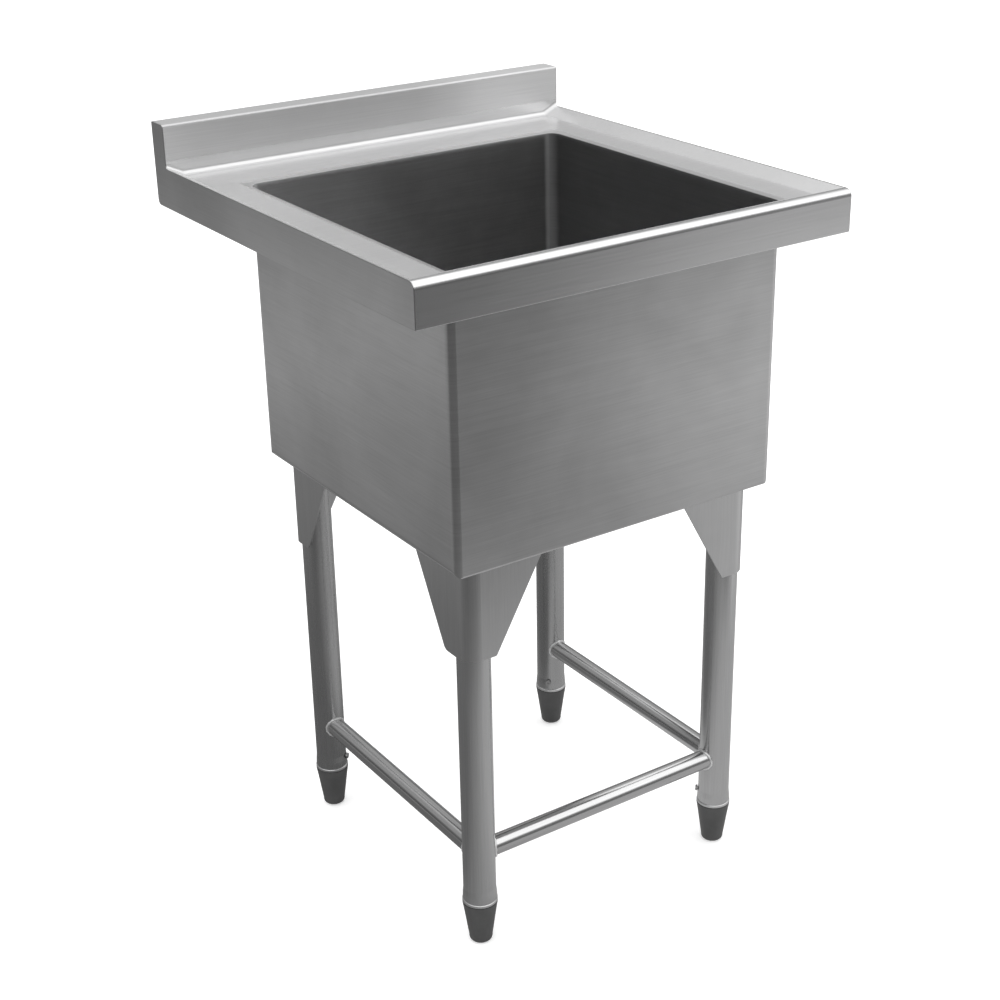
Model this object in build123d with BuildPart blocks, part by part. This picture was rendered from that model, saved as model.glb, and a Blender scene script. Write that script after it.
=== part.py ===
from build123d import *
import os
from math import sin, cos, tan, atan, degrees, radians, sqrt

os.makedirs("parts", exist_ok=True)

# ------------------------------------------------------------------ driving dimensions (mm)
# The origin is on the floor, under the middle of the top's outline. +X is to the user's
# right, +Y towards the splashback, +Z up.
W = 600.0            # width of the top
D = 624.0            # depth of the top, front roll to rear face
RIM_Z = 905.0        # height of the rim
SPLASH_H = 54.5      # splashback above the rim
SPLASH_T = 33.0      # splashback front face to rear face
APRON_H = 51.5       # rim to the bottom of the aprons
T = 1.2              # sheet thickness of the top and the bowl

ROLL_R = 9.0         # outer radius of the rolled front edge
RECESS = 10.7        # rim down to the edge of the deck floor
BEVEL_W = 22.5       # width of the sloping rim
COVE_R = 7.0         # cove between the deck and the splashback
HEM = 12.0           # return along the bottom of the aprons
FALL = 1.0           # fall of the deck floor towards the bowl

BOWL_X = 232.5       # half width of the bowl, outside
BOWL_Y0 = -267.0     # front face of the bowl, outside
BOWL_Y1 = 192.5      # rear face of the bowl, outside
BOWL_Z = 532.0       # underside of the bowl at its edge
BOWL_CR = 17.0       # vertical corner radius at the rear, outside
BOWL_CRF = 9.0       # and at the front
BOWL_BRX = 12.0      # radius of the left and right bottom edges, outside
BOWL_BRY = 3.2       # and of the front and rear bottom edges
LIP = 7.0            # width of the dressed lip round the bowl opening
LIP_FRONT = 0.3      # the same along the front
LIP_CR = 3.0         # corner radius of the lip's outline
LIP_DROP = 1.4       # fall of the lip
DISH = 3.5           # fall of the bowl's bottom to the waste

LEG_X = 190.0        # leg axes
LEG_Y0 = -232.0
LEG_Y1 = 148.0
LEG_R = 20.65
LEG_T = 1.5
RAIL_R = 12.7
RAIL_T = 1.2
RAIL_Z = 131.5

GUS_T = 2.0          # gusset plate
GUS_H = 120.0        # gusset height
GUS_GAP = 0.1        # leg to gusset
GUS_FOLD = {-1: 18.5, 1: 13.0}   # inner radius of the fold, on the front and on the rear legs
GUS_X = (86.0, 18.0)         # front and rear flanges: length from the leg axis at the bowl, and at the lower end
GUS_Y = {-1: (91.0, 26.0), 1: (80.0, 16.0)}   # side flanges, on the front and on the rear legs
GUS_CR_X = 3.5       # lower corner radius of the front and rear flanges
GUS_CR_Y = 9.0       # and of the side flanges

FOOT_H = 60.0        # underside of the collar
COLLAR_H = 4.0
COLLAR_R = 22.3
STUD_R = 8.0
STUD_FIT = 0.05      # radial clearance of the stud in its insert
FOOT_GAP = 0.35      # foot to collar at rest
BASKET_GAP = 0.3     # basket seal to the strainer at rest
SCREW_Z = 77.0       # foot set screw height

DRAIN_Y = -38.0      # axis of the waste, in the middle of the bowl's bottom

yf, yr = -D / 2, D / 2
ys = yr - SPLASH_T                        # front face of the splashback
xi = W / 2 - T                            # inner face of the side panels
slope = RECESS / BEVEL_W
beta = atan(slope)
floor_z = RIM_Z - RECESS
floor_x = W / 2 - BEVEL_W                 # foot of the side bevels
roll_y, roll_z = yf + ROLL_R, RIM_Z - ROLL_R
tan_y = roll_y + ROLL_R * sin(beta)       # where the front bevel leaves the roll
tan_z = roll_z + ROLL_R * cos(beta)
floor_y0 = tan_y + (tan_z - floor_z) / slope   # foot of the front bevel
open_x = BOWL_X - T                       # inside of the bowl
open_y0, open_y1 = BOWL_Y0 + T, BOWL_Y1 - T
lip_z = floor_z - FALL                    # top of the lip
lip_x = open_x + LIP
lip_y0, lip_y1 = open_y0 - LIP_FRONT, open_y1 + LIP
far = 60.0


def rect_pts(x, y0, y1):
    return [(-x, y0), (x, y0), (x, y1), (-x, y1)]


# ------------------------------------------------------------------ the top
# The space above the deck: a shallow tray with sloping sides, open to the rear up to the
# splashback's face. The sheet is the skin between this space and the same one, one
# thickness larger.
hop_x, hop_y0, hop_y1 = floor_x - 9.5, floor_y0 + 7.0, ys - COVE_R - 2.0

with BuildPart() as tray_inner:
    with BuildSketch(Plane.XZ.offset(-ys)):
        with BuildLine():
            Polyline(
                (-W / 2 - 30, RIM_Z + 30 * slope), (-floor_x, floor_z), (floor_x, floor_z),
                (W / 2 + 30, RIM_Z + 30 * slope), (W / 2 + 30, RIM_Z + far), (-W / 2 - 30, RIM_Z + far),
                close=True)
        make_face()
    extrude(amount=ys - yf + 80)
    with BuildSketch(Plane.YZ.offset(-W)):
        with BuildLine():
            Polyline(
                (tan_y - 120, tan_z + 120 * slope), (floor_y0 + 10, floor_z - 10 * slope),
                (floor_y0 + 10, floor_z - 40), (tan_y - 120, floor_z - 40), close=True)
        make_face()
    extrude(amount=2 * W, mode=Mode.SUBTRACT)
    fillet(
        tray_inner.edges().filter_by_position(Axis.Y, ys - 0.01, ys + 0.01)
        .filter_by_position(Axis.Z, floor_z - 0.1, RIM_Z + 20).sort_by(Axis.Z)[:3],
        radius=COVE_R)
    with BuildSketch(Plane.XY.offset(floor_z)):
        with BuildLine():
            Polyline(*rect_pts(hop_x, hop_y0, hop_y1), close=True)
        make_face()
    with BuildSketch(Plane.XY.offset(lip_z)):
        with BuildLine():
            Polyline(*rect_pts(lip_x, lip_y0, lip_y1), close=True)
        make_face()
    loft(ruled=True)

with BuildPart() as tray_outer:
    dz = T / cos(beta)
    fx = floor_x + (dz - T) / slope
    with BuildSketch(Plane.XZ.offset(-(ys + T))):
        with BuildLine():
            Polyline(
                (-W / 2 - 30, RIM_Z + 30 * slope - dz), (-fx, floor_z - T), (fx, floor_z - T),
                (W / 2 + 30, RIM_Z + 30 * slope - dz), (W / 2 + 30, RIM_Z + far), (-W / 2 - 30, RIM_Z + far),
                close=True)
        make_face()
    extrude(amount=ys - yf + 80 + T)
    with BuildSketch(Plane.YZ.offset(-W)):
        with BuildLine():
            Polyline(
                (tan_y - 120, tan_z + 120 * slope - dz), (floor_y0 + 10, floor_z - 10 * slope - dz),
                (floor_y0 + 10, floor_z - 40), (tan_y - 120, floor_z - 40), close=True)
        make_face()
    extrude(amount=2 * W, mode=Mode.SUBTRACT)
    fillet(
        tray_outer.edges().filter_by_position(Axis.Y, ys + T - 0.01, ys + T + 0.01)
        .filter_by_position(Axis.Z, floor_z - T - 0.1, RIM_Z + 20).sort_by(Axis.Z)[:3],
        radius=COVE_R + T)
    with BuildSketch(Plane.XY.offset(floor_z - T)):
        with BuildLine():
            Polyline(*rect_pts(hop_x, hop_y0, hop_y1), close=True)
        make_face()
    with BuildSketch(Plane.XY.offset(lip_z - T)):
        with BuildLine():
            Polyline(*rect_pts(lip_x, lip_y0, lip_y1), close=True)
        make_face()
    loft(ruled=True)

COVE_TOP = RIM_Z + 9.0                    # the sheet of the deck ends here, on the splashback

with BuildPart() as deck_top:
    add(tray_outer.part)
    add(tray_inner.part, mode=Mode.SUBTRACT)
    # keep the stretch between the side panels, from the roll to the splashback
    with BuildSketch(Plane.YZ.offset(-xi)):
        with BuildLine():
            Polyline((tan_y, floor_z - 20), (ys + T, floor_z - 20), (ys + T, COVE_TOP), (tan_y, COVE_TOP), close=True)
        make_face()
    extrude(amount=2 * xi, mode=Mode.INTERSECT)
    # cut-out for the bowl
    with BuildSketch(Plane.XY.offset(floor_z - 20)):
        with Locations((0, (lip_y0 + lip_y1) / 2)):
            RectangleRounded(2 * lip_x, lip_y1 - lip_y0, LIP_CR)
    extrude(amount=40, mode=Mode.SUBTRACT)
    # rolled front edge, front apron and its hem
    with BuildSketch(Plane.YZ.offset(-xi)):
        with BuildLine():
            outer_arc = CenterArc((roll_y, roll_z), ROLL_R, 90 - degrees(beta), 90 + degrees(beta))
            inner_arc = CenterArc((roll_y, roll_z), ROLL_R - T, 90 - degrees(beta), 90 + degrees(beta))
            Polyline(
                (yf, roll_z), (yf, RIM_Z - APRON_H), (yf + HEM, RIM_Z - APRON_H),
                (yf + HEM, RIM_Z - APRON_H + T), (yf + T, RIM_Z - APRON_H + T), (yf + T, roll_z))
            Polyline(inner_arc @ 0, (tan_y, tan_z - T / cos(beta)), outer_arc @ 0)
        make_face()
    extrude(amount=2 * xi)
    fillet(
        deck_top.edges().filter_by(Axis.X).filter_by_position(Axis.Y, yf - 0.01, yf + 0.01)
        .filter_by_position(Axis.Z, RIM_Z - APRON_H - 0.01, RIM_Z - APRON_H + 0.01), radius=1.0)
deck_top.part.label = "deck_top"
export_step(deck_top.part, "parts/deck_top.step")

with BuildPart() as splashback:
    top = RIM_Z + SPLASH_H
    with BuildSketch(Plane.YZ.offset(-xi)):
        with BuildLine():
            o = FilletPolyline((ys, COVE_TOP), (ys, top), (yr, top), (yr, top - 25), radius=[3.0, 2.0])
            i = FilletPolyline(
                (ys + T, COVE_TOP), (ys + T, top - T), (yr - T, top - T), (yr - T, top - 25), radius=[3.0 - T, 2.0 - T])
            Line(o @ 0, i @ 0)
            Line(o @ 1, i @ 1)
        make_face()
    extrude(amount=2 * xi)
splashback.part.label = "splashback"
export_step(splashback.part, "parts/splashback.step")

for side, sx in (("left", -1), ("right", 1)):
    with BuildPart() as side_panel:
        with BuildSketch(Plane.YZ.offset(sx * W / 2)):
            with BuildLine():
                FilletPolyline(
                    (yf, RIM_Z - APRON_H), (yf, RIM_Z), (ys, RIM_Z), (ys, RIM_Z + SPLASH_H),
                    (yr, RIM_Z + SPLASH_H), (yr, RIM_Z - APRON_H),
                    radius=[1.5, ROLL_R, 4.0, 3.0, 2.0, 7.0], close=True)
            make_face()
        extrude(amount=-sx * T)
        # the outer edges are dressed round
        fillet(side_panel.faces().sort_by(Axis.X)[0 if sx < 0 else -1].outer_wire().edges(), radius=1.0)
        with BuildSketch(Plane.XY.offset(RIM_Z - APRON_H)):
            with Locations((sx * (xi - HEM / 2 + 0.1), 5.0)):
                Rectangle(HEM + 0.2, D - 44)
        extrude(amount=T)
    side_panel.part.label = f"side_panel_{side}"
    export_step(side_panel.part, f"parts/side_panel_{side}.step")

# channel under the rear margin of the deck
with BuildPart() as rear_stiffener:
    with BuildSketch(Plane.YZ.offset(-xi)):
        with BuildLine():
            Polyline(
                (232, 892.4), (232, 872), (266, 872), (266, 892.9), (264.8, 892.9),
                (264.8, 873.2), (233.2, 873.2), (233.2, 892.4), close=True)
        make_face()
    extrude(amount=2 * xi)
rear_stiffener.part.label = "rear_stiffener"
export_step(rear_stiffener.part, "parts/rear_stiffener.step")

# ------------------------------------------------------------------ the bowl
cy = (BOWL_Y0 + BOWL_Y1) / 2
by = (BOWL_Y1 - BOWL_Y0)
DISH_X, DISH_Y0, DISH_Y1 = 166.0, -208.0, 132.0   # the dished part of the bottom
DISH_FLAT = 62.0                                   # flat round the waste
bf_z = BOWL_Z + T - DISH                           # bowl floor at the waste


def bowl_plan(z, inset):
    """Outline of the bowl at a height, moved inwards by inset."""
    with BuildSketch(Plane.XY.offset(z)) as plan:
        with Locations((0, cy)):
            Rectangle(2 * (BOWL_X - inset), by - 2 * inset)
        fillet(plan.vertices().group_by(Axis.Y)[0], radius=BOWL_CRF - inset)
        fillet(
            [v for v in plan.vertices() if v.Y > BOWL_Y1 - inset - 0.01], radius=BOWL_CR - inset)
    return plan.sketch


with BuildPart() as bowl_space:
    extrude(bowl_plan(BOWL_Z + T, T), amount=lip_z - LIP_DROP - BOWL_Z - T)
    with BuildSketch(Plane.XZ.offset(-(BOWL_Y1 + 20))):
        with BuildLine():
            u = FilletPolyline(
                (-open_x, RIM_Z), (-open_x, BOWL_Z + T), (open_x, BOWL_Z + T), (open_x, RIM_Z), radius=BOWL_BRX - T)
            Line(u @ 1, u @ 0)
        make_face()
    extrude(amount=by + 40, mode=Mode.INTERSECT)
    with BuildSketch(Plane.YZ.offset(-W / 2)):
        with BuildLine():
            u = FilletPolyline(
                (open_y0, RIM_Z), (open_y0, BOWL_Z + T), (open_y1, BOWL_Z + T), (open_y1, RIM_Z), radius=BOWL_BRY - T)
            Line(u @ 1, u @ 0)
        make_face()
    extrude(amount=W, mode=Mode.INTERSECT)
    with BuildSketch(Plane.XY.offset(lip_z)) as lip_top:
        with Locations((0, (lip_y0 + lip_y1) / 2)):
            RectangleRounded(2 * lip_x, lip_y1 - lip_y0, LIP_CR)
    loft([bowl_plan(lip_z - LIP_DROP, T), lip_top.sketch])
    with BuildSketch(Plane.XY.offset(lip_z)):
        with Locations((0, (lip_y0 + lip_y1) / 2)):
            RectangleRounded(2 * lip_x, lip_y1 - lip_y0, LIP_CR)
    extrude(amount=10)
    with BuildSketch(Plane.XY.offset(BOWL_Z + T)):
        with BuildLine():
            Polyline(*rect_pts(DISH_X, DISH_Y0, DISH_Y1), close=True)
        make_face()
    with BuildSketch(Plane.XY.offset(bf_z)):
        with BuildLine():
            Polyline(*rect_pts(DISH_FLAT, DRAIN_Y - DISH_FLAT, DRAIN_Y + DISH_FLAT), close=True)
        make_face()
    loft(ruled=True)

with BuildPart() as bowl:
    extrude(bowl_plan(BOWL_Z, 0.0), amount=lip_z - T - LIP_DROP - BOWL_Z)
    with BuildSketch(Plane.XZ.offset(-(BOWL_Y1 + 20))):
        with BuildLine():
            u = FilletPolyline((-BOWL_X, RIM_Z), (-BOWL_X, BOWL_Z), (BOWL_X, BOWL_Z), (BOWL_X, RIM_Z), radius=BOWL_BRX)
            Line(u @ 1, u @ 0)
        make_face()
    extrude(amount=by + 40, mode=Mode.INTERSECT)
    with BuildSketch(Plane.YZ.offset(-W / 2)):
        with BuildLine():
            u = FilletPolyline(
                (BOWL_Y0, RIM_Z), (BOWL_Y0, BOWL_Z), (BOWL_Y1, BOWL_Z), (BOWL_Y1, RIM_Z), radius=BOWL_BRY)
            Line(u @ 1, u @ 0)
        make_face()
    extrude(amount=W, mode=Mode.INTERSECT)
    with BuildSketch(Plane.XY.offset(lip_z - T)) as lip_under:
        with Locations((0, (lip_y0 + lip_y1) / 2)):
            RectangleRounded(2 * lip_x, lip_y1 - lip_y0, LIP_CR)
    loft([bowl_plan(lip_z - T - LIP_DROP, 0.0), lip_under.sketch])
    with BuildSketch(Plane.XY.offset(lip_z - T)):
        with Locations((0, (lip_y0 + lip_y1) / 2)):
            RectangleRounded(2 * lip_x, lip_y1 - lip_y0, LIP_CR)
    extrude(amount=T)
    with BuildSketch(Plane.XY.offset(BOWL_Z)):
        with BuildLine():
            Polyline(*rect_pts(DISH_X, DISH_Y0, DISH_Y1), close=True)
        make_face()
    with BuildSketch(Plane.XY.offset(bf_z - T)):
        with BuildLine():
            Polyline(*rect_pts(DISH_FLAT, DRAIN_Y - DISH_FLAT, DRAIN_Y + DISH_FLAT), close=True)
        make_face()
    loft(ruled=True)
    add(bowl_space.part, mode=Mode.SUBTRACT)
    # hole for the waste
    with BuildSketch(Plane.XY.offset(bf_z - 20)):
        with Locations((0, DRAIN_Y)):
            Circle(43.0)
    extrude(amount=40, mode=Mode.SUBTRACT)
bowl.part.label = "bowl"
export_step(bowl.part, "parts/bowl.step")

# ------------------------------------------------------------------ legs, gussets, rails
corners = [
    ("front_left", -1, LEG_Y0, -1), ("front_right", 1, LEG_Y0, -1),
    ("rear_left", -1, LEG_Y1, 1), ("rear_right", 1, LEG_Y1, 1),
]
leg_z0 = FOOT_H + COLLAR_H
gi = LEG_R + GUS_GAP
go = gi + GUS_T

for name, sx, ly, sy in corners:
    lx = sx * LEG_X
    # unit vector from the leg to the middle of the sink
    ux, uy = -sx / sqrt(2), -sy / sqrt(2)
    screw_plane = Plane(origin=(lx, ly, SCREW_Z), x_dir=(0, 0, 1), z_dir=(ux, uy, 0))

    with BuildPart() as leg:
        # tube, swaged out a little over the insert
        with BuildSketch(Plane.XZ.offset(-ly)):
            with BuildLine():
                Polyline(
                    (lx + LEG_R - LEG_T, leg_z0), (lx + LEG_R + 0.7, leg_z0), (lx + LEG_R + 1.1, leg_z0 + 2), (lx + LEG_R + 0.8, leg_z0 + 9),
                    (lx + LEG_R, leg_z0 + 17), (lx + LEG_R, BOWL_Z), (lx + LEG_R - LEG_T, BOWL_Z), close=True)
            make_face()
        revolve(axis=Axis((lx, ly, 0), (0, 0, 1)))
        with BuildSketch(screw_plane):
            Circle(2.1)
        extrude(amount=LEG_R + 2, mode=Mode.SUBTRACT)
    leg.part.label = f"leg_{name}"
    export_step(leg.part, f"parts/leg_{name}.step")

    # folded plate round the outside of the leg, its flanges tapering towards the leg
    fold = GUS_FOLD[sy]
    with BuildPart() as gusset:
        with BuildSketch(Plane.XY.offset(BOWL_Z - GUS_H)):
            with Locations((lx + sx * (gi - fold), ly + sy * (gi - fold))):
                Circle(fold + GUS_T)
                Circle(fold, mode=Mode.SUBTRACT)
            # the fold is the outer quarter of the ring
            with Locations((lx + sx * (gi - fold - 50), ly)):
                Rectangle(100, 200, mode=Mode.SUBTRACT)
            with Locations((lx, ly + sy * (gi - fold - 50))):
                Rectangle(200, 100, mode=Mode.SUBTRACT)
            fold_x, fold_y = lx + sx * (gi - fold), ly + sy * (gi - fold)
            end_x, end_y = lx - sx * GUS_X[0], ly - sy * GUS_Y[sy][0]
            with Locations((lx + sx * (gi + GUS_T / 2), (fold_y + end_y) / 2)):
                Rectangle(GUS_T, abs(fold_y - end_y))
            with Locations(((fold_x + end_x) / 2, ly + sy * (gi + GUS_T / 2))):
                Rectangle(abs(fold_x - end_x), GUS_T)
        extrude(amount=GUS_H)
        zb, zt = BOWL_Z - GUS_H, BOWL_Z
        with BuildSketch(Plane.YZ.offset(lx + sx * gi - 5)):
            with BuildLine():
                Polyline(
                    (ly - sy * GUS_Y[sy][0], zt), (ly - sy * GUS_Y[sy][1], zb), (ly - sy * 140, zb), (ly - sy * 140, zt),
                    close=True)
            make_face()
        extrude(amount=10, mode=Mode.SUBTRACT)
        with BuildSketch(Plane.XZ.offset(-(ly + sy * gi) - 5)):
            with BuildLine():
                Polyline(
                    (lx - sx * GUS_X[0], zt), (lx - sx * GUS_X[1], zb), (lx - sx * 140, zb), (lx - sx * 140, zt), close=True)
            make_face()
        extrude(amount=10, mode=Mode.SUBTRACT)
        # rounded lower corners
        ends = [
            e for e in gusset.edges().filter_by(GeomType.LINE)
            if abs(e.length - GUS_T) < 0.01 and abs(e.center().Z - zb) < 0.01]
        fillet([e for e in ends if abs(e.tangent_at(0).Y) > 0.5], radius=GUS_CR_X)
        ends = [
            e for e in gusset.edges().filter_by(GeomType.LINE)
            if abs(e.length - GUS_T) < 0.01 and abs(e.center().Z - zb) < 0.01 and abs(e.tangent_at(0).X) > 0.5]
        fillet(ends, radius=GUS_CR_Y)
    gusset.part.label = f"gusset_{name}"
    export_step(gusset.part, f"parts/gusset_{name}.step")

    # plug in the bottom of the leg, with the collar that the tube stands on
    with BuildPart() as foot_insert:
        with BuildSketch(Plane.XY.offset(FOOT_H)):
            with Locations((lx, ly)):
                Circle(COLLAR_R)
        extrude(amount=COLLAR_H)
        fillet(foot_insert.edges().group_by(Axis.Z)[-1], radius=1.2)
        fillet(foot_insert.edges().group_by(Axis.Z)[0], radius=1.0)
        with BuildSketch(Plane.XY.offset(FOOT_H + COLLAR_H)):
            with Locations((lx, ly)):
                Circle(LEG_R - LEG_T)
        extrude(amount=40)
        with BuildSketch(Plane.XY.offset(FOOT_H - 1)):
            with Locations((lx, ly)):
                Circle(STUD_R + STUD_FIT)
        extrude(amount=60, mode=Mode.SUBTRACT)
        with BuildSketch(screw_plane):
            Circle(2.0)
        extrude(amount=LEG_R, mode=Mode.SUBTRACT)
    foot_insert.part.label = f"foot_insert_{name}"
    export_step(foot_insert.part, f"parts/foot_insert_{name}.step")

    # bullet foot, turned about the leg's axis
    with BuildPart() as foot:
        with BuildSketch(Plane.XZ.offset(-ly)):
            with BuildLine():
                Polyline((lx, 0), (lx + 9.8, 0))
                ThreePointArc((lx + 9.8, 0), (lx + 13.3, 1.8), (lx + 14.8, 6.5))
                Spline(
                    (lx + 14.8, 6.5), (lx + 17.0, 22), (lx + 19.5, 40), (lx + 22.3, 58),
                    tangents=((0.12, 1.0), (0.16, 1.0)))
                Polyline(
                    (lx + 22.3, 58), (lx + 22.3, FOOT_H - FOOT_GAP),
                    (lx, FOOT_H - FOOT_GAP), (lx, 0))
            make_face()
        revolve(axis=Axis((lx, ly, 0), (0, 0, 1)))
        with BuildSketch(Plane.XY.offset(32)):
            with Locations((lx, ly)):
                Circle(STUD_R)
        extrude(amount=40, mode=Mode.SUBTRACT)
    foot.part.label = f"foot_{name}"
    export_step(foot.part, f"parts/foot_{name}.step")

    with BuildPart() as foot_stud:
        with BuildSketch(Plane.XY.offset(32)):
            with Locations((lx, ly)):
                Circle(STUD_R)
        extrude(amount=68)
        chamfer(foot_stud.edges().group_by(Axis.Z)[-1], length=1.5)
    foot_stud.part.label = f"foot_stud_{name}"
    export_step(foot_stud.part, f"parts/foot_stud_{name}.step")

with BuildPart() as foot_set_screws:
    for name, sx, ly, sy in corners:
        ux, uy = -sx / sqrt(2), -sy / sqrt(2)
        base = Plane(origin=(sx * LEG_X, ly, SCREW_Z), x_dir=(0, 0, 1), z_dir=(ux, uy, 0))
        with BuildSketch(base.offset(10)):
            Circle(2.0)
        extrude(amount=LEG_R - 10 + 1.0)
        with BuildSketch(base.offset(LEG_R + 1.0)):
            Circle(4.0)
        extrude(amount=2.6)
        with BuildSketch(base.offset(LEG_R + 3.6)):
            RegularPolygon(1.6, 6)
        extrude(amount=-1.5, mode=Mode.SUBTRACT)
foot_set_screws.part.label = "foot_set_screws"
export_step(foot_set_screws.part, "parts/foot_set_screws.step")

# rails, coped onto the legs
for name, start, end in (
    ("left", (-LEG_X, LEG_Y0), (-LEG_X, LEG_Y1)),
    ("right", (LEG_X, LEG_Y0), (LEG_X, LEG_Y1)),
    ("front", (-LEG_X, LEG_Y0), (LEG_X, LEG_Y0)),
):
    length = sqrt((end[0] - start[0]) ** 2 + (end[1] - start[1]) ** 2)
    with BuildPart() as rail:
        run = Plane(
            origin=(start[0], start[1], RAIL_Z), x_dir=(0, 0, 1),
            z_dir=((end[0] - start[0]) / length, (end[1] - start[1]) / length, 0))
        with BuildSketch(run):
            Circle(RAIL_R)
            Circle(RAIL_R - RAIL_T, mode=Mode.SUBTRACT)
        extrude(amount=length)
        with BuildSketch(Plane.XY.offset(RAIL_Z - 40)):
            with Locations(start, end):
                Circle(LEG_R)
        extrude(amount=80, mode=Mode.SUBTRACT)
    rail.part.label = f"rail_{name}"
    export_step(rail.part, f"parts/rail_{name}.step")

# ------------------------------------------------------------------ waste fitting, about its own axis
waste = Plane(origin=(0, DRAIN_Y, 0), x_dir=(1, 0, 0), z_dir=(0, -1, 0))
waste_axis = Axis((0, DRAIN_Y, 0), (0, 0, 1))
SEAL_T = 1.0
fl0 = bf_z + SEAL_T                 # underside of the strainer's flange
cup_z = bf_z - 42.0                 # inside bottom of the strainer's cup
spigot_z = cup_z - 26.0             # lower end of its threaded spigot
under = bf_z - T                    # underside of the bowl at the waste

with BuildPart() as strainer_body:
    with BuildSketch(waste):
        with BuildLine():
            Polyline(
                (40.0, cup_z + 3), (40.0, fl0 - 1.0), (41.3, fl0 + 1.2), (44.0, fl0 + 1.8), (55.5, fl0 + 1.6), (57.0, fl0 + 0.8),
                (57.0, fl0), (42.0, fl0), (42.0, fl0 - 26), (41.4, fl0 - 27), (41.4, cup_z + 1.0), (38.5, cup_z - 1.5),
                (20.5, cup_z - 1.5), (20.5, cup_z), (37.0, cup_z), close=True)
        make_face()
    revolve(axis=waste_axis)
strainer_body.part.label = "strainer_body"
export_step(strainer_body.part, "parts/strainer_body.step")

# threaded spigot, brazed under the cup
with BuildPart() as strainer_outlet:
    with BuildSketch(waste):
        with BuildLine():
            Polyline(
                (20.5, spigot_z), (24.0, spigot_z), (24.0, cup_z - 3.5), (30.0, cup_z - 3.5), (30.0, cup_z - 1.5),
                (20.5, cup_z - 1.5), close=True)
        make_face()
    revolve(axis=waste_axis)
strainer_outlet.part.label = "strainer_outlet"
export_step(strainer_outlet.part, "parts/strainer_outlet.step")

def ring(r0, r1, z0, z1):
    return [(r0, z0), (r1, z0), (r1, z1), (r0, z1)]

with BuildPart() as flange_seal:
    with BuildSketch(waste):
        with BuildLine():
            Polyline(*ring(44.0, 55.0, bf_z, fl0), close=True)
        make_face()
    revolve(axis=waste_axis)
flange_seal.part.label = "flange_seal"
export_step(flange_seal.part, "parts/flange_seal.step")

with BuildPart() as lower_gasket:
    with BuildSketch(waste):
        with BuildLine():
            Polyline(*ring(42.1, 56.0, under - 3.0, under), close=True)
        make_face()
    revolve(axis=waste_axis)
lower_gasket.part.label = "lower_gasket"
export_step(lower_gasket.part, "parts/lower_gasket.step")

with BuildPart() as friction_washer:
    with BuildSketch(waste):
        with BuildLine():
            Polyline(*ring(42.1, 56.0, under - 4.0, under - 3.0), close=True)
        make_face()
    revolve(axis=waste_axis)
friction_washer.part.label = "friction_washer"
export_step(friction_washer.part, "parts/friction_washer.step")

with BuildPart() as locknut:
    with BuildSketch(Plane.XY.offset(under - 20.0)):
        with Locations((0, DRAIN_Y)):
            Circle(51.0)
            with PolarLocations(52.0, 8):
                Rectangle(10, 9)
            Circle(42.1, mode=Mode.SUBTRACT)
    extrude(amount=16.0)
    with BuildSketch(Plane.XY.offset(under - 7.0)):
        with Locations((0, DRAIN_Y)):
            Circle(58.0)
            Circle(42.1, mode=Mode.SUBTRACT)
    extrude(amount=3.0)
locknut.part.label = "locknut"
export_step(locknut.part, "parts/locknut.step")

with BuildPart() as tailpiece_washer:
    with BuildSketch(waste):
        with BuildLine():
            Polyline(*ring(19.5, 24.0, spigot_z - 2.0, spigot_z), close=True)
        make_face()
    revolve(axis=waste_axis)
tailpiece_washer.part.label = "tailpiece_washer"
export_step(tailpiece_washer.part, "parts/tailpiece_washer.step")

TAIL_R = 19.0
TAIL_END = 428.0
TAIL_FREE = 451.7                   # the tube is a little larger above this height, inside its nut
TAIL_NECK = TAIL_R + 0.2
with BuildPart() as tailpiece:
    with BuildSketch(waste):
        with BuildLine():
            Polyline(
                (TAIL_R - 1.2, TAIL_END), (TAIL_R, TAIL_END), (TAIL_R, TAIL_FREE), (TAIL_NECK, TAIL_FREE + 0.4),
                (TAIL_NECK, spigot_z - 4.0), (23.5, spigot_z - 4.0), (23.5, spigot_z - 2.0),
                (TAIL_R - 1.2, spigot_z - 2.0), close=True)
        make_face()
    revolve(axis=waste_axis)
tailpiece.part.label = "tailpiece"
export_step(tailpiece.part, "parts/tailpiece.step")

with BuildPart() as coupling_nut:
    with BuildSketch(Plane.XY.offset(spigot_z - 8.0)):
        with Locations((0, DRAIN_Y)):
            Circle(28.5)
            with PolarLocations(28.0, 10):
                Rectangle(5, 6)
            Circle(24.1, mode=Mode.SUBTRACT)
    extrude(amount=22.0)
    with BuildSketch(Plane.XY.offset(spigot_z - 8.0)):
        with Locations((0, DRAIN_Y)):
            Circle(25.0)
            Circle(TAIL_NECK + 0.3, mode=Mode.SUBTRACT)
    extrude(amount=4.0)
coupling_nut.part.label = "coupling_nut"
export_step(coupling_nut.part, "parts/coupling_nut.step")

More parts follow.
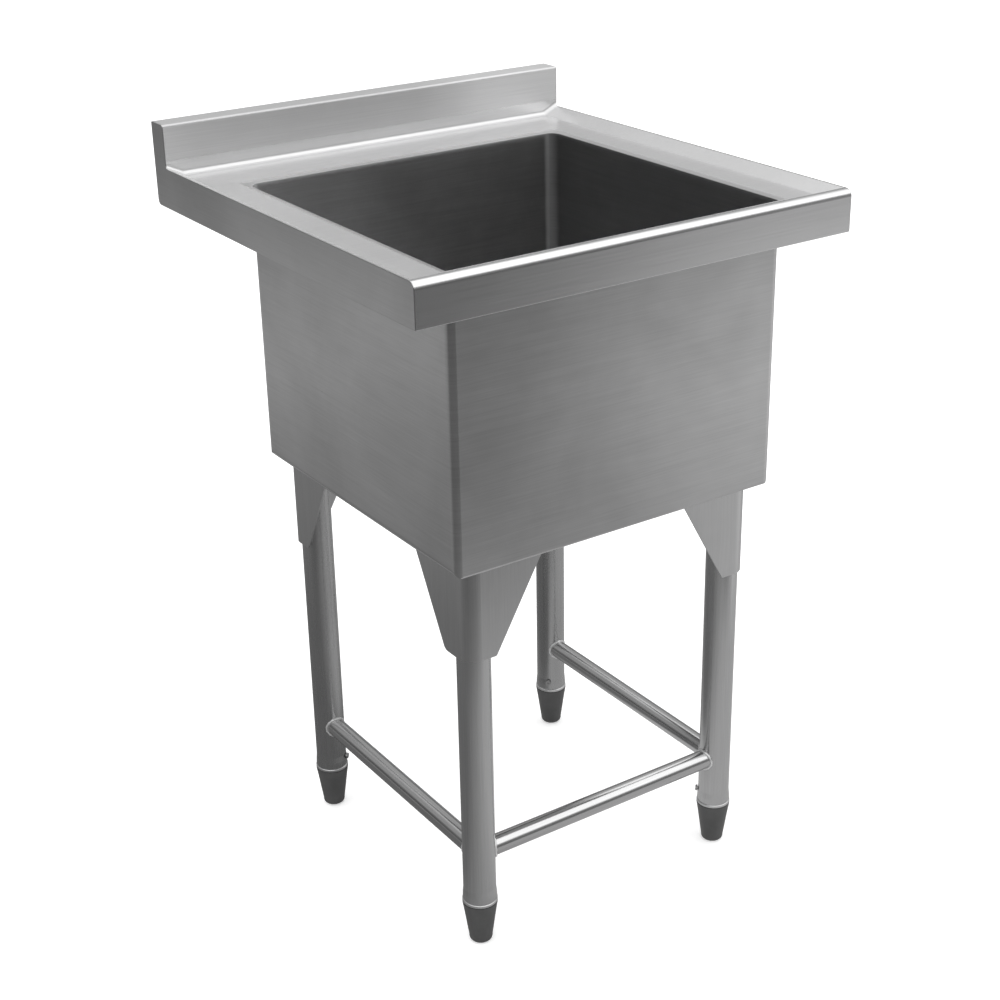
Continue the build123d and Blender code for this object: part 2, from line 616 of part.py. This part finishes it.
# lift-out basket, its rubber seal and its pull post
SEAL_H = 4.0
bk_z = cup_z + BASKET_GAP + SEAL_H      # underside of the basket
with BuildPart() as strainer_basket:
    with BuildSketch(waste):
        with BuildLine():
            Polyline(
                (0, bk_z), (31.0, bk_z), (36.0, bk_z + 6), (37.5, bk_z + 30), (39.3, bk_z + 31.5), (39.3, bk_z + 32.7),
                (37.0, bk_z + 32.7), (36.3, bk_z + 30), (34.9, bk_z + 6.6), (30.5, bk_z + 1.2), (0, bk_z + 1.2),
                close=True)
        make_face()
    revolve(axis=waste_axis)
    # post hole, floor holes and side slots
    with BuildSketch(Plane.XY.offset(bk_z - 1)):
        with Locations((0, DRAIN_Y)):
            Circle(3.0)
            with PolarLocations(26.5, 16):
                Circle(1.9)
    extrude(amount=4, mode=Mode.SUBTRACT)
    with Locations(Plane(origin=(0, DRAIN_Y, bk_z + 18), x_dir=(1, 0, 0), z_dir=(0, 0, 1))):
        with PolarLocations(36.5, 16):
            Box(8, 3.0, 16, mode=Mode.SUBTRACT)
strainer_basket.part.label = "strainer_basket"
export_step(strainer_basket.part, "parts/strainer_basket.step")

with BuildPart() as basket_seal:
    with BuildSketch(waste):
        with BuildLine():
            Polyline(
                (3.1, bk_z - SEAL_H), (23.0, bk_z - SEAL_H), (24.6, bk_z - 2.0), (23.0, bk_z), (3.1, bk_z), close=True)
        make_face()
    revolve(axis=waste_axis)
basket_seal.part.label = "basket_seal"
export_step(basket_seal.part, "parts/basket_seal.step")

with BuildPart() as basket_post:
    with BuildSketch(waste):
        with BuildLine():
            Polyline(
                (0, bk_z - SEAL_H - 1.0), (5.0, bk_z - SEAL_H - 1.0), (6.5, bk_z - SEAL_H), (3.0, bk_z - SEAL_H),
                (3.0, bk_z + 1.2), (6.0, bk_z + 1.2), (6.0, bk_z + 2.6), (3.0, bk_z + 4.0), (3.0, bk_z + 26.0),
                (4.2, bk_z + 27.2), (7.0, bk_z + 29.0), (8.0, bk_z + 30.2), (8.2, bk_z + 31.2), (7.8, bk_z + 32.4),
                (6.4, bk_z + 33.6), (3.6, bk_z + 34.4), (0, bk_z + 34.6), close=True)
        make_face()
    revolve(axis=waste_axis)
basket_post.part.label = "basket_post"
export_step(basket_post.part, "parts/basket_post.step")
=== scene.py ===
import math

import bmesh
import bpy
from mathutils import Matrix, Vector


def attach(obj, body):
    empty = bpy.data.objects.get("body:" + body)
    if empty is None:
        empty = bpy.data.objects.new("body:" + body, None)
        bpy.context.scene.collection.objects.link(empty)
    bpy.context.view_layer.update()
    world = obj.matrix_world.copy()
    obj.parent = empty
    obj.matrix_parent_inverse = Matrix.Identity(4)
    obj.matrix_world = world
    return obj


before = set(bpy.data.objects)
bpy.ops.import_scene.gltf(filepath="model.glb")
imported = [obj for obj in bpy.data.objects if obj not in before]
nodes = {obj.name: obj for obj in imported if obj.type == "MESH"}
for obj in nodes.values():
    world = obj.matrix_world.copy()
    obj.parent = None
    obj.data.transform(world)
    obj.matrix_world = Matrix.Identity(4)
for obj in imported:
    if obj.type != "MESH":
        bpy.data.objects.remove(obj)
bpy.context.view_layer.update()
scene = bpy.context.scene
scene.view_settings.view_transform = "Standard"
scene.view_settings.look = "None"
scene.view_settings.exposure = 0.0
scene.view_settings.gamma = 1.0

CORNERS = ("front_left", "front_right", "rear_left", "rear_right")


# ------------------------------------------------------------------ camera
def make_camera(pos, az, el, roll, f_px):
    az, el, roll = map(math.radians, (az, el, roll))
    back = Vector((math.sin(az) * math.cos(el), -math.cos(az) * math.cos(el), math.sin(el)))
    right = (-back).cross(Vector((0, 0, 1))).normalized()
    up = right.cross(-back)
    r2 = right * math.cos(roll) + up * math.sin(roll)
    u2 = -right * math.sin(roll) + up * math.cos(roll)
    cam = bpy.data.cameras.new("camera")
    cam.sensor_fit = "HORIZONTAL"
    cam.sensor_width = 36.0
    cam.lens = f_px / 1000.0 * 36.0
    cam.clip_start = 0.05
    cam.clip_end = 100
    ob = bpy.data.objects.new("camera", cam)
    scene.collection.objects.link(ob)
    m = Matrix((r2, u2, back)).transposed().to_4x4()
    m.translation = Vector(pos)
    ob.matrix_world = m
    scene.camera = ob
    return ob


make_camera((-1.184324, -1.794503, 1.442312), -33.546, 24.256, -1.112, 1797.116)


# ------------------------------------------------------------------ node helpers
class Tree:
    """Short calls for building a node tree."""

    def __init__(self, tree):
        self.t = tree
        tree.nodes.clear()

    def n(self, kind, **props):
        node = self.t.nodes.new(kind)
        for k, v in props.items():
            setattr(node, k, v)
        return node

    def link(self, a, b):
        self.t.links.new(a, b)

    def math(self, op, a, b=None, c=None, clamp=False):
        node = self.n("ShaderNodeMath", operation=op, use_clamp=clamp)
        for i, v in enumerate((a, b, c)):
            if v is None:
                continue
            if hasattr(v, "links"):
                self.link(v, node.inputs[i])
            else:
                node.inputs[i].default_value = v
        return node.outputs[0]

    def scaled(self, vec, s):
        node = self.n("ShaderNodeVectorMath", operation="MULTIPLY")
        self.link(vec, node.inputs[0])
        node.inputs[1].default_value = s
        return node.outputs[0]

    def noise(self, vec, scale=1.0, detail=2.0, rough=0.5, dist=0.0):
        node = self.n("ShaderNodeTexNoise")
        self.link(vec, node.inputs["Vector"])
        node.inputs["Scale"].default_value = scale
        node.inputs["Detail"].default_value = detail
        node.inputs["Roughness"].default_value = rough
        node.inputs["Distortion"].default_value = dist
        return node.outputs["Fac"]

    def remap(self, x, a, b, c, d, clamp=True):
        node = self.n("ShaderNodeMapRange", clamp=clamp)
        self.link(x, node.inputs["Value"])
        for k, v in (("From Min", a), ("From Max", b), ("To Min", c), ("To Max", d)):
            node.inputs[k].default_value = v
        return node.outputs["Result"]

    def ramp(self, x, stops, interp="LINEAR"):
        node = self.n("ShaderNodeValToRGB")
        node.color_ramp.interpolation = interp
        e = node.color_ramp.elements
        while len(e) > 1:
            e.remove(e[-1])
        e[0].position, e[0].color = stops[0][0], grey(stops[0][1])
        for p, v in stops[1:]:
            s = e.new(p)
            s.color = grey(v)
        self.link(x, node.inputs["Fac"])
        return node.outputs["Color"]


def grey(v):
    return (v, v, v, 1.0) if not isinstance(v, tuple) else v


def mix(t, fac, a, b):
    node = t.n("ShaderNodeMixRGB")
    for i, v in enumerate((fac, a, b)):
        if hasattr(v, "links"):
            t.link(v, node.inputs[i])
        else:
            node.inputs[i].default_value = v if i == 0 else grey(v)
    return node.outputs[0]


def new_material(name):
    mat = bpy.data.materials.new(name)
    mat.use_nodes = True
    t = Tree(mat.node_tree)
    out = t.n("ShaderNodeOutputMaterial")
    bsdf = t.n("ShaderNodeBsdfPrincipled")
    t.link(bsdf.outputs[0], out.inputs[0])
    coord = t.n("ShaderNodeTexCoord").outputs["Object"]
    return mat, t, bsdf, coord


def brushed(name, base, rough, grain, fine=1.0, wave=0.0, wave_scale=(8, 8, 8), smudge=0.06, bump=0.000003,
            satin=0.0, satin_above=None, satin_behind=None, inside=None, tones=None):
    """Stainless steel with a linear grain. grain is the axis, or the two axes of a wrapped sheet, that the fine
    scratches run along.

    satin is the share of light that the finish scatters, on the whole piece or above a height
    and behind a line.
    inside is a box in x and y, the bowl's inside, in which painted light brightens the metal towards the left and
    painted shade darkens the right wall: half width, front, rear, the brightness of the painted shade on the right
    wall, corner radius at the rear and at the front.
    tones is a half width and a list of brightnesses from the left end to the right end, outside that box: painted
    shade and painted reflection across the piece.
    """
    mat, t, bsdf, coord = new_material(name)
    along, across = 14.0, 1700.0 * fine
    s = [across, across, across]
    for g in grain:
        s["xyz".index(g)] = along
    g1 = t.noise(t.scaled(coord, s), 1.0, 1.0, 0.5)
    s2 = [across * 0.28] * 3
    for g in grain:
        s2["xyz".index(g)] = 5.0
    g2 = t.noise(t.scaled(coord, s2), 1.0, 2.0, 0.6)
    streak = t.math("ADD", t.math("MULTIPLY", g1, 0.6), t.math("MULTIPLY", g2, 0.4))
    big = t.noise(coord, 5.0, 4.0, 0.55, 0.4)
    fingers = t.noise(coord, 22.0, 2.0, 0.5, 0.4)
    # colour: slight streaks, and a cloudiness at the size of a hand
    v = t.math("ADD", t.remap(streak, 0.3, 0.7, -0.035, 0.035), t.remap(big, 0.3, 0.7, -smudge * 0.6, smudge * 0.6))
    val = t.math("ADD", v, base)
    tone = 1.0
    # painted shade and painted reflection: the colour is scaled from the left end to the right end
    if tones:
        side = t.n("ShaderNodeSeparateXYZ")
        t.link(coord, side.inputs[0])
        tone = t.ramp(t.remap(side.outputs["X"], -tones[0], tones[0], 0.0, 1.0), tones[1])
        if not inside:
            val = t.math("MULTIPLY", val, tone)
    if inside:
        pos = t.n("ShaderNodeSeparateXYZ")
        t.link(coord, pos.inputs[0])
        half, y0, y1, right_wall_painted_shade, radius, radius_front = inside
        ax = t.math("ABSOLUTE", pos.outputs["X"])
        ay = t.math("ABSOLUTE", t.math("SUBTRACT", pos.outputs["Y"], (y0 + y1) / 2))
        hy = (y1 - y0) / 2
        # distance past the straight part of the walls: the inner face is at the radius
        rad = t.remap(pos.outputs["Y"], (y0 + y1) / 2 - 0.02, (y0 + y1) / 2, radius_front, radius)
        dx = t.math("MAXIMUM", t.math("SUBTRACT", ax, t.math("SUBTRACT", half, rad)), 0.0)
        dy = t.math("MAXIMUM", t.math("SUBTRACT", ay, t.math("SUBTRACT", hy, rad)), 0.0)
        dist = t.math("SQRT", t.math("ADD", t.math("MULTIPLY", dx, dx), t.math("MULTIPLY", dy, dy)))
        within = t.math("LESS_THAN", dist, t.math("ADD", rad, 0.0006))
        # painted light and painted shade inside the bowl: the metal is brightened towards the left end and darkened
        # on the right wall
        rear = t.remap(pos.outputs["X"], -half, 0.9 * half, 1.55, 1.02)
        tint = t.math("ADD", rear, t.remap(pos.outputs["X"], half - radius, half - 0.5 * radius, 0.0, right_wall_painted_shade - 1.02))
        val = t.math("MULTIPLY", val, mix(t, within, tone, tint))
        # the welded corners are dressed finer than the walls
        corner = t.math("MULTIPLY", t.remap(dx, 0.0, 0.35 * radius, 0.0, 1.0), t.remap(dy, 0.35 * radius, 0.9 * radius, 0.0, 1.0))
        corner = t.math("MULTIPLY", corner, within)
    comb = t.n("ShaderNodeCombineColor")
    t.link(val, comb.inputs[0])
    t.link(val, comb.inputs[1])
    t.link(t.math("MULTIPLY", val, 1.004), comb.inputs[2])
    t.link(comb.outputs[0], bsdf.inputs["Base Color"])
    if satin_above:
        pos = t.n("ShaderNodeSeparateXYZ")
        t.link(coord, pos.inputs[0])
        share = t.remap(pos.outputs["Z"], satin_above - 0.004, satin_above, 0.0, satin)
        if satin_behind:
            share = t.math("MULTIPLY", share, t.remap(pos.outputs["Y"], satin_behind - 0.003, satin_behind, 0.0, 1.0))
        if inside:
            share = t.math("MAXIMUM", share, t.math("MULTIPLY", corner, 0.4))
        t.link(t.math("SUBTRACT", 1.0, share), bsdf.inputs["Metallic"])
    else:
        bsdf.inputs["Metallic"].default_value = 1.0 - satin
    r = t.math("ADD", t.remap(streak, 0.25, 0.75, -0.015, 0.015), t.remap(fingers, 0.3, 0.7, -min(smudge, 0.05) * 0.25, min(smudge, 0.05) * 0.25))
    t.link(t.math("ADD", r, rough, clamp=True), bsdf.inputs["Roughness"])
    b1 = t.n("ShaderNodeBump")
    b1.inputs["Strength"].default_value = 0.2
    b1.inputs["Distance"].default_value = bump
    t.link(streak, b1.inputs["Height"])
    last = b1
    if wave:
        w = t.noise(t.scaled(coord, wave_scale), 1.0, 2.0, 0.5, 0.3)
        b2 = t.n("ShaderNodeBump")
        b2.inputs["Strength"].default_value = 1.0
        b2.inputs["Distance"].default_value = wave
        t.link(w, b2.inputs["Height"])
        t.link(b1.outputs["Normal"], b2.inputs["Normal"])
        last = b2
    t.link(last.outputs["Normal"], bsdf.inputs["Normal"])
    return mat


def plastic(name, base, rough, spec=0.5, bump=0.0001, scale=900.0):
    mat, t, bsdf, coord = new_material(name)
    n1 = t.noise(coord, scale, 3.0, 0.6)
    n2 = t.noise(coord, 30.0, 4.0, 0.6, 0.5)
    val = t.math("ADD", t.remap(n2, 0.3, 0.7, -base * 0.18, base * 0.18), base)
    comb = t.n("ShaderNodeCombineColor")
    for i in range(3):
        t.link(val, comb.inputs[i])
    t.link(comb.outputs[0], bsdf.inputs["Base Color"])
    t.link(t.math("ADD", t.remap(n2, 0.3, 0.7, -0.06, 0.08), rough, clamp=True), bsdf.inputs["Roughness"])
    bsdf.inputs["Specular IOR Level"].default_value = spec
    b = t.n("ShaderNodeBump")
    b.inputs["Strength"].default_value = 0.5
    b.inputs["Distance"].default_value = bump
    t.link(n1, b.inputs["Height"])
    t.link(b.outputs["Normal"], bsdf.inputs["Normal"])
    return mat


STEEL = 0.60
M = {
    "deck": brushed("steel_deck", 0.7, 0.25, "x", wave=0.0001, wave_scale=(4, 5, 5), smudge=0.03,
                    satin=0.42, satin_above=0.8925, satin_behind=-0.3),
    "panel": brushed("steel_panel", STEEL * 0.985, 0.3, "y", wave=0.0002, wave_scale=(4, 4, 6), smudge=0.09),
    # the splashback's tones are painted reflection: darker over its left part, lighter over its right part
    "splash": brushed("steel_splash", 0.64, 0.42, "x", wave=0.00005, wave_scale=(4, 5, 5), smudge=0.03, bump=0.000001,
                      satin=0.45, tones=(0.3, [(0.0, 0.9), (0.3, 0.86), (0.62, 0.86), (0.78, 1.04), (1.0, 1.02)])),
    # the bowl's tones are painted shade, darker towards its right end; inside it, painted light brightens the left
    # and painted shade darkens the right wall
    "bowl": brushed("steel_bowl", STEEL * 0.97, 0.3, "xy", fine=0.4, wave=0.0003, wave_scale=(8, 8, 5), smudge=0.1,
                    bump=0.00000002,
                    satin=0.25, satin_above=0.8915, inside=(0.2313, -0.2658, 0.1913, 0.36, 0.0158, 0.0078),
                    tones=(0.2325, [(0.0, 1.0), (0.08, 1.0), (0.2, 0.96), (0.34, 0.945), (0.79, 0.93), (1.0, 0.93)])),
    "gusset": brushed("steel_gusset", STEEL * 0.95, 0.3, "z", wave=0.0003, wave_scale=(14, 14, 9), smudge=0.05),
    # the rear gussets get a darker copy of the same steel: painted shade
    "gusset_rear": brushed("steel_gusset_rear", STEEL * 0.8, 0.3, "z", wave=0.0003, wave_scale=(14, 14, 9), smudge=0.05),
    "leg": brushed("steel_leg", STEEL * 0.95, 0.22, "z", smudge=0.03),
    # the rear legs get a darker copy of the same leg steel: painted shade
    "leg_rear": brushed("steel_leg_rear", STEEL * 0.76, 0.27, "z", smudge=0.04),
    "rail_x": brushed("steel_rail_x", STEEL * 0.95, 0.18, "x", smudge=0.03),
    "rail_y": brushed("steel_rail_y", STEEL * 0.95, 0.18, "y", smudge=0.03),
    "weld": brushed("weld_metal", 0.72, 0.34, "z", fine=0.5, smudge=0.1, satin=0.3),
    "insert": brushed("cast_insert", 0.66, 0.34, "z", fine=0.4),
    "screw": brushed("plated_screw", 0.42, 0.3, "z", fine=0.6),
    "bright": brushed("bright_plate", 0.76, 0.1, "z", fine=0.5, smudge=0.03),
    "foot": plastic("foot_plastic", 0.055, 0.42),
    "white": plastic("white_plastic", 0.75, 0.4),
    "rubber": plastic("black_rubber", 0.02, 0.6, 0.3),
}


def dress(node, mat):
    me = nodes[node].data
    me.materials.clear()
    me.materials.append(M[mat])


for n in ("deck_top", "rear_stiffener"):
    dress(n, "deck")
dress("splashback", "splash")
for n in ("side_panel_left", "side_panel_right"):
    dress(n, "panel")
dress("bowl", "bowl")
# the rear legs and gussets take the darker copies of the steel: painted shade
for c in CORNERS:
    dress(f"gusset_{c}", "gusset_rear" if "rear" in c else "gusset")
    dress(f"leg_{c}", "leg_rear" if "rear" in c else "leg")
    dress(f"foot_insert_{c}", "insert")
    dress(f"foot_{c}", "foot")
    dress(f"foot_stud_{c}", "screw")
dress("rail_front", "rail_x")
dress("rail_left", "rail_y")
dress("rail_right", "rail_y")
dress("foot_set_screws", "screw")
for n in ("strainer_body", "strainer_basket", "basket_post", "tailpiece", "coupling_nut"):
    dress(n, "bright")
dress("locknut", "insert")
if "strainer_outlet" in nodes:
    dress("strainer_outlet", "insert")
for n in ("flange_seal", "lower_gasket", "basket_seal"):
    dress(n, "rubber")
for n in ("friction_washer", "tailpiece_washer"):
    dress(n, "white")


# ------------------------------------------------------------------ weld beads
def bead(name, pts, radius, closed=True, ripple=0.16):
    """A line of weld along pts: a closed tube whose size ripples along its length."""
    k = 8
    n = len(pts)
    bm = bmesh.new()
    rings = []
    for i, p in enumerate(pts):
        a = pts[(i - 1) % n] if closed or i > 0 else p
        b = pts[(i + 1) % n] if closed or i < n - 1 else p
        t = (b - a).normalized()
        u = t.cross(Vector((0.31, 0.52, 0.79))).normalized()
        v = t.cross(u)
        r = radius * (1.0 + ripple * math.sin(i * 1.9))
        if not closed and i in (0, n - 1):
            r *= 0.45
        rings.append([bm.verts.new(p + (u * math.cos(2 * math.pi * j / k) + v * math.sin(2 * math.pi * j / k)) * r)
                      for j in range(k)])
    # each ring is turned to face the one before it
    for i in range(1, n):
        best = min(range(k), key=lambda s: sum((rings[i][(j + s) % k].co - rings[i - 1][j].co).length for j in range(k)))
        rings[i] = rings[i][best:] + rings[i][:best]
    last = n if closed else n - 1
    for i in range(last):
        a, b = rings[i], rings[(i + 1) % n]
        off = 0
        if i == n - 1:
            off = min(range(k), key=lambda s: sum((b[(j + s) % k].co - a[j].co).length for j in range(k)))
        for j in range(k):
            bm.faces.new((a[j], a[(j + 1) % k], b[(j + 1 + off) % k], b[(j + off) % k]))
    if not closed:
        bm.faces.new(rings[0])
        bm.faces.new(rings[-1])
    bmesh.ops.recalc_face_normals(bm, faces=bm.faces)
    me = bpy.data.meshes.new(name)
    bm.to_mesh(me)
    bm.free()
    for f in me.polygons:
        f.use_smooth = True
    me.materials.append(M["weld"])
    ob = bpy.data.objects.new(name, me)
    scene.collection.objects.link(ob)
    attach(ob, "sink")
    return ob


LEG_X, LEG_Y = 0.190, {"front": -0.232, "rear": 0.148}
LEG_R, RAIL_R, RAIL_Z = 0.02065, 0.0127, 0.1315


def saddle(lx, ly, run, lift=0.0006):
    """Where a rail along run, "x" or "y" with its sign, meets its leg."""
    axis, sign = run
    pts = []
    for i in range(44):
        a = 2 * math.pi * i / 44
        s, z = (RAIL_R + lift) * math.cos(a), (RAIL_R + lift) * math.sin(a)
        d = sign * math.sqrt((LEG_R + lift) ** 2 - s * s)
        pts.append(Vector((lx + d, ly + s, RAIL_Z + z)) if axis == "x" else Vector((lx + s, ly + d, RAIL_Z + z)))
    return pts


for sx, side in ((-1, "left"), (1, "right")):
    for row, sy in (("front", 1), ("rear", -1)):
        bead(f"weld_rail_{side}_{row}", saddle(sx * LEG_X, LEG_Y[row], ("y", sy)), 0.0016)
    bead(f"weld_rail_front_{side}", saddle(sx * LEG_X, LEG_Y["front"], ("x", -sx)), 0.0016)


# ------------------------------------------------------------------ floor and world, which give the light
def make_floor():
    me = bpy.data.meshes.new("floor")
    r, k = 40.0, 64
    vs = [(r * math.cos(2 * math.pi * i / k), r * math.sin(2 * math.pi * i / k), 0.0) for i in range(k)]
    me.from_pydata(vs, [], [list(range(k))])
    ob = bpy.data.objects.new("floor", me)
    scene.collection.objects.link(ob)
    mat = bpy.data.materials.new("pale_floor")
    mat.use_nodes = True
    t = Tree(mat.node_tree)
    out = t.n("ShaderNodeOutputMaterial")
    dif = t.n("ShaderNodeBsdfDiffuse")
    dif.inputs["Color"].default_value = (0.93, 0.93, 0.93, 1)
    # what the metal sees of the studio's floor: darker away to the left and rear, and in the
    # distance, with a dim patch in front of the left corner
    geo = t.n("ShaderNodeNewGeometry")
    sep = t.n("ShaderNodeSeparateXYZ")
    t.link(geo.outputs["Position"], sep.inputs[0])
    x, y = sep.outputs["X"], sep.outputs["Y"]
    far = t.math("SQRT", t.math("ADD", t.math("MULTIPLY", x, x), t.math("MULTIPLY", y, y)))
    # close to the sink: dim on its left and rear, pale on its right
    side = t.math("DIVIDE", t.math("ADD", t.math("MULTIPLY", x, 0.82), t.math("MULTIPLY", y, -0.57)), far)
    near = t.remap(side, -0.6, 0.65, 0.19, 0.54)
    # further off: a dim zone in front of the left corner, mid grey to the left and rear
    w = t.math("ADD", x, t.math("MULTIPLY", y, 0.9))
    zone = t.ramp(t.remap(w, -1.0, 0.0, 0.0, 1.0), [(0.0, 0.13), (0.15, 0.15), (0.28, 0.225), (0.43, 0.3), (0.6, 0.5), (0.8, 0.5), (1.0, 0.74)])
    rear = t.math("MULTIPLY", t.remap(x, -0.6, 0.8, 0.315, 0.41), t.remap(y, 1.2, 2.0, 0.93, 1.12))
    away = mix(t, t.remap(y, -0.6, 0.2, 0.0, 1.0), zone, rear)
    away = t.math("MULTIPLY", away, t.math("MULTIPLY", t.remap(far, 1.7, 2.25, 0.96, 1.36), t.remap(far, 2.4, 4.0, 1.0, 0.4)))
    tone = mix(t, t.remap(far, 0.85, 1.3, 0.0, 1.0), near, away)
    emi = t.n("ShaderNodeEmission")
    t.link(tone, emi.inputs["Color"])
    emi.inputs["Strength"].default_value = 1.0
    lp = t.n("ShaderNodeLightPath")
    # a plain pale floor to the camera, lit a little from below
    lift = t.n("ShaderNodeEmission")
    t.link(t.math("MULTIPLY", lp.outputs["Is Camera Ray"], 0.32), lift.inputs["Strength"])
    seen = t.n("ShaderNodeAddShader")
    t.link(dif.outputs[0], seen.inputs[0])
    t.link(lift.outputs[0], seen.inputs[1])
    sw = t.n("ShaderNodeMixShader")
    t.link(lp.outputs["Is Glossy Ray"], sw.inputs[0])
    t.link(seen.outputs[0], sw.inputs[1])
    t.link(emi.outputs[0], sw.inputs[2])
    t.link(sw.outputs[0], out.inputs[0])
    me.materials.append(mat)


def make_world():
    world = bpy.data.worlds.new("studio")
    scene.world = world
    world.use_nodes = True
    t = Tree(world.node_tree)
    out = t.n("ShaderNodeOutputWorld")
    d = t.n("ShaderNodeTexCoord").outputs["Generated"]
    sep = t.n("ShaderNodeSeparateXYZ")
    t.link(d, sep.inputs[0])
    # bright above; dim low down in front, pale low down behind
    z = sep.outputs["Z"]
    front = t.ramp(z, [(0.0, 0.2), (0.1, 0.2), (0.28, 0.26), (0.38, 0.8), (0.46, 1.75), (1.0, 1.6)])
    back = t.ramp(z, [(0.0, 0.14), (0.25, 0.22), (0.37, 0.52), (0.47, 0.54), (0.58, 0.46), (0.68, 0.55), (0.76, 1.45), (0.86, 1.75), (1.0, 1.6)])
    blend = mix(t, t.remap(sep.outputs["Y"], -0.3, 0.35, 0.0, 1.0), front, back)
    lr = t.remap(sep.outputs["X"], -0.9, 0.5, 0.7, 1.0)
    studio = t.math("MULTIPLY", blend, lr)
    glossy = t.n("ShaderNodeBackground")
    t.link(studio, glossy.inputs["Color"])
    plain = t.n("ShaderNodeBackground")
    plain.inputs["Color"].default_value = (1, 1, 1, 1)
    plain.inputs["Strength"].default_value = 1.25
    lp = t.n("ShaderNodeLightPath")
    sw = t.n("ShaderNodeMixShader")
    t.link(lp.outputs["Is Glossy Ray"], sw.inputs[0])
    t.link(plain.outputs[0], sw.inputs[1])
    t.link(glossy.outputs[0], sw.inputs[2])
    t.link(sw.outputs[0], out.inputs[0])


make_floor()
make_world()
